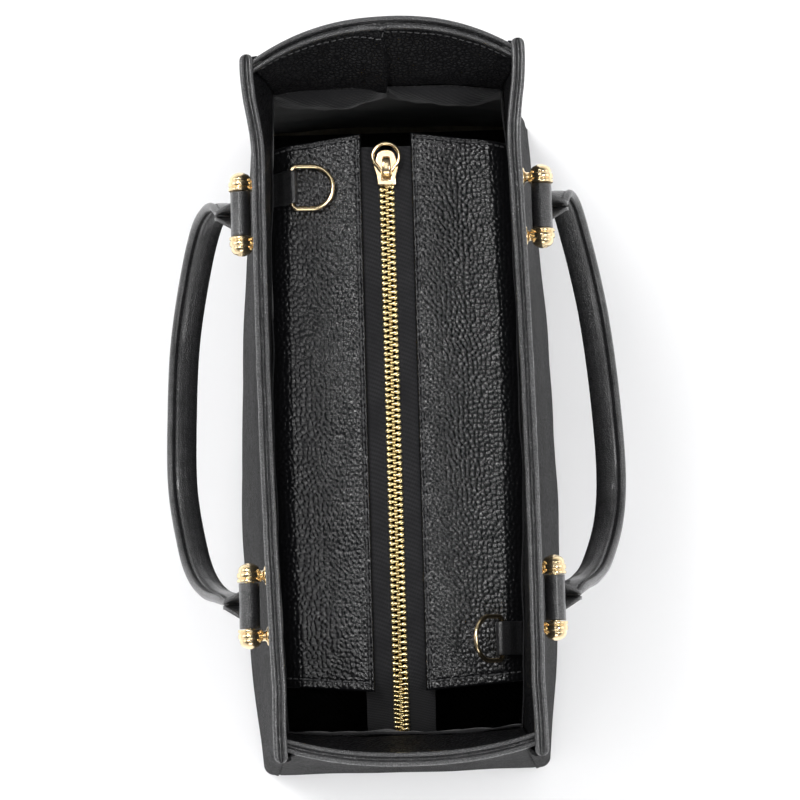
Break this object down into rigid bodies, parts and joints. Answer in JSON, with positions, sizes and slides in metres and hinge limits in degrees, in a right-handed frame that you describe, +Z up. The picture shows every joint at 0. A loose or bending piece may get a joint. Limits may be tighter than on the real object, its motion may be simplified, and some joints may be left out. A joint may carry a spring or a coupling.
{
  "type": "diaper bag",
  "caption": "Structured open-top leather tote with a recessed zip closure, two swinging strap handles on capped bars and two D-rings.",
  "frame": {"origin": "middle of the flat base's underside, on the surface the bag stands on", "axes": "+X along the bag towards its far end, +Y through its depth towards the back, +Z up"},
  "size_m": [0.376, 0.2436, 0.265],
  "materials": {
    "outer_leather": "matte, fine pebble grain",
    "panel_leather": "matte, coarse pebble grain",
    "board": "plain board",
    "lining_twill": "woven twill",
    "zip_tape": "woven tape",
    "gold_metal": "polished pale gold plate",
    "steel": "plain",
    "rope_core": "filler core"
  },
  "bodies": {
    "root": {"base_panel": "outer_leather", "base_board": "board", "lining_base": "lining_twill", "zip_stops": "gold_metal", "mount_screws": "steel", "mount_washers": "steel", "front_panel": "outer_leather", "front_stiffener": "board", "facing_front": "outer_leather", "rim_front": "outer_leather", "lining_front": "lining_twill", "zip_panel_front": "panel_leather", "zip_tape_front": "zip_tape", "zip_teeth_front": "gold_metal", "handle_bar_front_far": "gold_metal", "handle_bar_front_near": "gold_metal", "handle_mount_front_far": "gold_metal", "handle_mount_front_near": "gold_metal", "back_panel": "outer_leather", "back_stiffener": "board", "facing_back": "outer_leather", "rim_back": "outer_leather", "lining_back": "lining_twill", "zip_panel_back": "panel_leather", "zip_tape_back": "zip_tape", "zip_teeth_back": "gold_metal", "handle_bar_back_far": "gold_metal", "handle_bar_back_near": "gold_metal", "handle_mount_back_far": "gold_metal", "handle_mount_back_near": "gold_metal", "gusset_far": "outer_leather", "facing_far": "outer_leather", "rim_far": "outer_leather", "lining_far": "lining_twill", "d_ring_tab_far": "panel_leather", "gusset_near": "outer_leather", "facing_near": "outer_leather", "rim_near": "outer_leather", "lining_near": "lining_twill", "d_ring_tab_near": "panel_leather"},
    "handle_front": {"handle_front_strap": "outer_leather", "handle_front_core": "rope_core"},
    "handle_back": {"handle_back_strap": "outer_leather", "handle_back_core": "rope_core"},
    "zip_slider": {"zip_slider": "gold_metal"},
    "zip_pull": {"zip_pull": "gold_metal"},
    "d_ring_far": {"d_ring_far": "gold_metal"},
    "d_ring_near": {"d_ring_near": "gold_metal"}
  },
  "joints": [
    {"name": "handle_back_swing", "type": "hinge", "parent": "root", "child": "handle_back", "pos_m": [0, 0.0735, 0.233], "axis": [1, 0, 0], "range_deg": [-12, 158]},
    {"name": "handle_front_swing", "type": "hinge", "parent": "root", "child": "handle_front", "pos_m": [0, -0.0735, 0.233], "axis": [-1, 0, 0], "range_deg": [-12, 158]},
    {"name": "zip_slide", "type": "slide", "parent": "root", "child": "zip_slider", "axis": [-1, 0, 0], "range_m": [0, 0.235]},
    {"name": "pull_flip", "type": "hinge", "parent": "zip_slider", "child": "zip_pull", "pos_m": [0.1202, 0.002, 0.20745], "axis": [0, -1, 0], "range_deg": [0, 170]},
    {"name": "d_ring_far_swing", "type": "hinge", "parent": "root", "child": "d_ring_far", "pos_m": [0.1125, 0.0495, 0.2089], "axis": [-1, 0, 0], "range_deg": [0, 112]},
    {"name": "d_ring_near_swing", "type": "hinge", "parent": "root", "child": "d_ring_near", "pos_m": [-0.114, -0.0485, 0.2089], "axis": [1, 0, 0], "range_deg": [-52, 60]}
  ]
}
